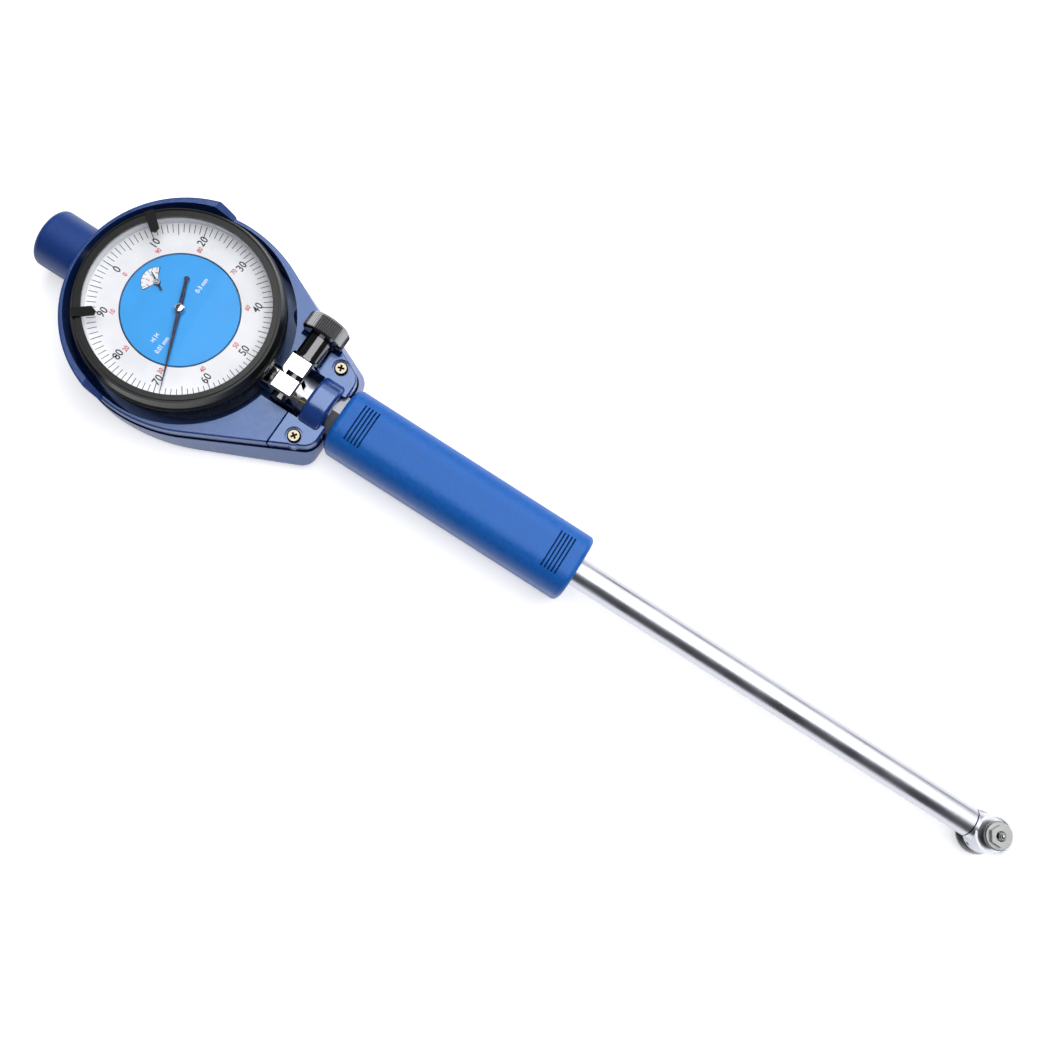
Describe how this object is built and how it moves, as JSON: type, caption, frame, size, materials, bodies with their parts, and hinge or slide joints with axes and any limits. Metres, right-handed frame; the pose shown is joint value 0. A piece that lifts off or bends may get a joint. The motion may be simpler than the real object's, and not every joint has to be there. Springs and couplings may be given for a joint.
{
  "type": "dial bore gauge",
  "caption": "Dial bore gauge: guarded dial indicator on a moulded handle and long plated tube, with a right-angle measuring head.",
  "frame": {"origin": "on the guard's flat back, under the centre of the dial", "axes": "+X from the dial to the measuring head, +Y to the thumb screw's side, +Z out of the dial"},
  "size_m": [0.3158, 0.0644, 0.0247],
  "materials": {
    "blue_guard": "satin",
    "blue_grip": "fine texture",
    "chrome": "polished",
    "satin_chrome": "satin",
    "steel": "ground",
    "nickel": "plated",
    "brass": "turned",
    "black_enamel": "satin",
    "black_oxide": "semi-gloss",
    "dial_white": "printed",
    "dial_blue": "printed",
    "hand_black": "satin",
    "crystal": "clear",
    "spring_steel": "drawn"
  },
  "bodies": {
    "frame": {"guard_back": "blue_guard", "guard_front": "blue_guard", "guard_screws": "nickel", "rear_cap": "blue_guard", "end_cover": "blue_guard", "cover_screws": "nickel", "indicator_case": "black_enamel", "case_back": "black_enamel", "case_back_screws": "steel", "stem": "chrome", "spindle_bush": "chrome", "movement_plate": "brass", "plate_pillars": "brass", "bridge_plate": "brass", "return_spring": "spring_steel", "spring_anchor": "steel", "dial_centre": "dial_blue", "clamp_block": "chrome", "set_screw": "nickel", "neck": "chrome", "handle_top": "blue_grip", "handle_bottom": "blue_grip", "tube": "satin_chrome", "rod_bushes": "brass", "rod_spring": "spring_steel", "head_body": "satin_chrome", "crank_pin": "steel", "anvil": "satin_chrome", "anvil_tip": "black_oxide", "anvil_ball": "steel", "bridge_spring": "spring_steel"},
    "rod": {"push_rod": "steel"},
    "spindle": {"spindle": "steel", "spindle_cap": "chrome", "spindle_contact": "steel"},
    "crank": {"bell_crank": "steel"},
    "contact": {"contact_plunger": "steel", "contact_ball": "steel"},
    "rack_gear": {"rack_pinion": "steel", "rack_wheel": "brass"},
    "centre_gear": {"centre_pinion": "steel", "pointer": "hand_black", "pointer_hub": "chrome"},
    "takeup_gear": {"takeup_wheel": "brass", "hairspring": "spring_steel", "counter_hand": "hand_black"},
    "bezel_ring": {"bezel": "black_enamel", "scale_ring": "dial_white", "dial_spacer": "black_enamel", "crystal": "crystal"},
    "marker_low": {"limit_marker_low": "black_oxide"},
    "marker_high": {"limit_marker_high": "black_oxide"},
    "washer": {"clamp_washer": "black_oxide"},
    "screw": {"thumb_screw": "black_oxide"},
    "bridge": {"centring_bridge": "satin_chrome", "bridge_pins": "steel"}
  },
  "joints": [
    {"name": "rod_slide", "type": "slide", "parent": "frame", "child": "rod", "axis": [-1, 0, 0], "range_m": [0, 0.0012], "stiffness_N_per_m": 300, "springref_m": -0.003, "deforming": ["rod_spring"]},
    {"name": "spindle_slide", "type": "slide", "parent": "frame", "child": "spindle", "axis": [-1, 0, 0], "range_m": [0, 0.0012], "deforming": ["return_spring"]},
    {"name": "crank_turn", "type": "hinge", "parent": "frame", "child": "crank", "pos_m": [0.2623, 0, 0.0073], "axis": [0, -1, 0], "range_deg": [0, 28]},
    {"name": "contact_slide", "type": "slide", "parent": "frame", "child": "contact", "axis": [0, 0, 1], "range_m": [0, 0.0012]},
    {"name": "rack_gear_turn", "type": "hinge", "parent": "frame", "child": "rack_gear", "pos_m": [0.00945, -0.00294, 0.0098], "axis": [0, 0, 1], "range_deg": [0, 43.7]},
    {"name": "pointer_turn", "type": "hinge", "parent": "frame", "child": "centre_gear", "pos_m": [0, 0, 0.0098], "axis": [0, 0, -1], "range_deg": [0, 433]},
    {"name": "counter_turn", "type": "hinge", "parent": "frame", "child": "takeup_gear", "pos_m": [-0.00945, 0.00294, 0.0098], "axis": [0, 0, 1], "range_deg": [0, 43.7]},
    {"name": "bezel_turn", "type": "hinge", "parent": "frame", "child": "bezel_ring", "pos_m": [0, 0, 0.02], "axis": [0, 0, 1], "continuous": true},
    {"name": "low_marker_turn", "type": "hinge", "parent": "bezel_ring", "child": "marker_low", "pos_m": [0, 0, 0.0234], "axis": [0, 0, 1], "range_deg": [-30, 130]},
    {"name": "high_marker_turn", "type": "hinge", "parent": "bezel_ring", "child": "marker_high", "pos_m": [0, 0, 0.0234], "axis": [0, 0, 1], "range_deg": [-130, 30]},
    {"name": "washer_slide", "type": "slide", "parent": "frame", "child": "washer", "axis": [0, 1, 0], "range_m": [0, 0.0016]},
    {"name": "screw_turn", "type": "hinge", "parent": "washer", "child": "screw", "pos_m": [0.0352, 0.0075, 0.0178], "axis": [0, 1, 0], "range_deg": [0, 720]},
    {"name": "bridge_slide", "type": "slide", "parent": "frame", "child": "bridge", "axis": [0, 0, 1], "range_m": [0, 0.0014], "stiffness_N_per_m": 400, "springref_m": -0.002, "deforming": ["bridge_spring"]}
  ],
  "couplings": [
    {"joint": "spindle_slide", "follows": "rod_slide", "ratio": 1},
    {"joint": "contact_slide", "follows": "rod_slide", "ratio": 1},
    {"joint": "crank_turn", "follows": "rod_slide", "rad_per_m": 400},
    {"joint": "rack_gear_turn", "follows": "rod_slide", "rad_per_m": 628.32},
    {"joint": "pointer_turn", "follows": "rod_slide", "rad_per_m": 6283.2},
    {"joint": "counter_turn", "follows": "rod_slide", "rad_per_m": 628.32},
    {"joint": "washer_slide", "follows": "screw_turn", "m_per_rad": 0.00012732}
  ]
}
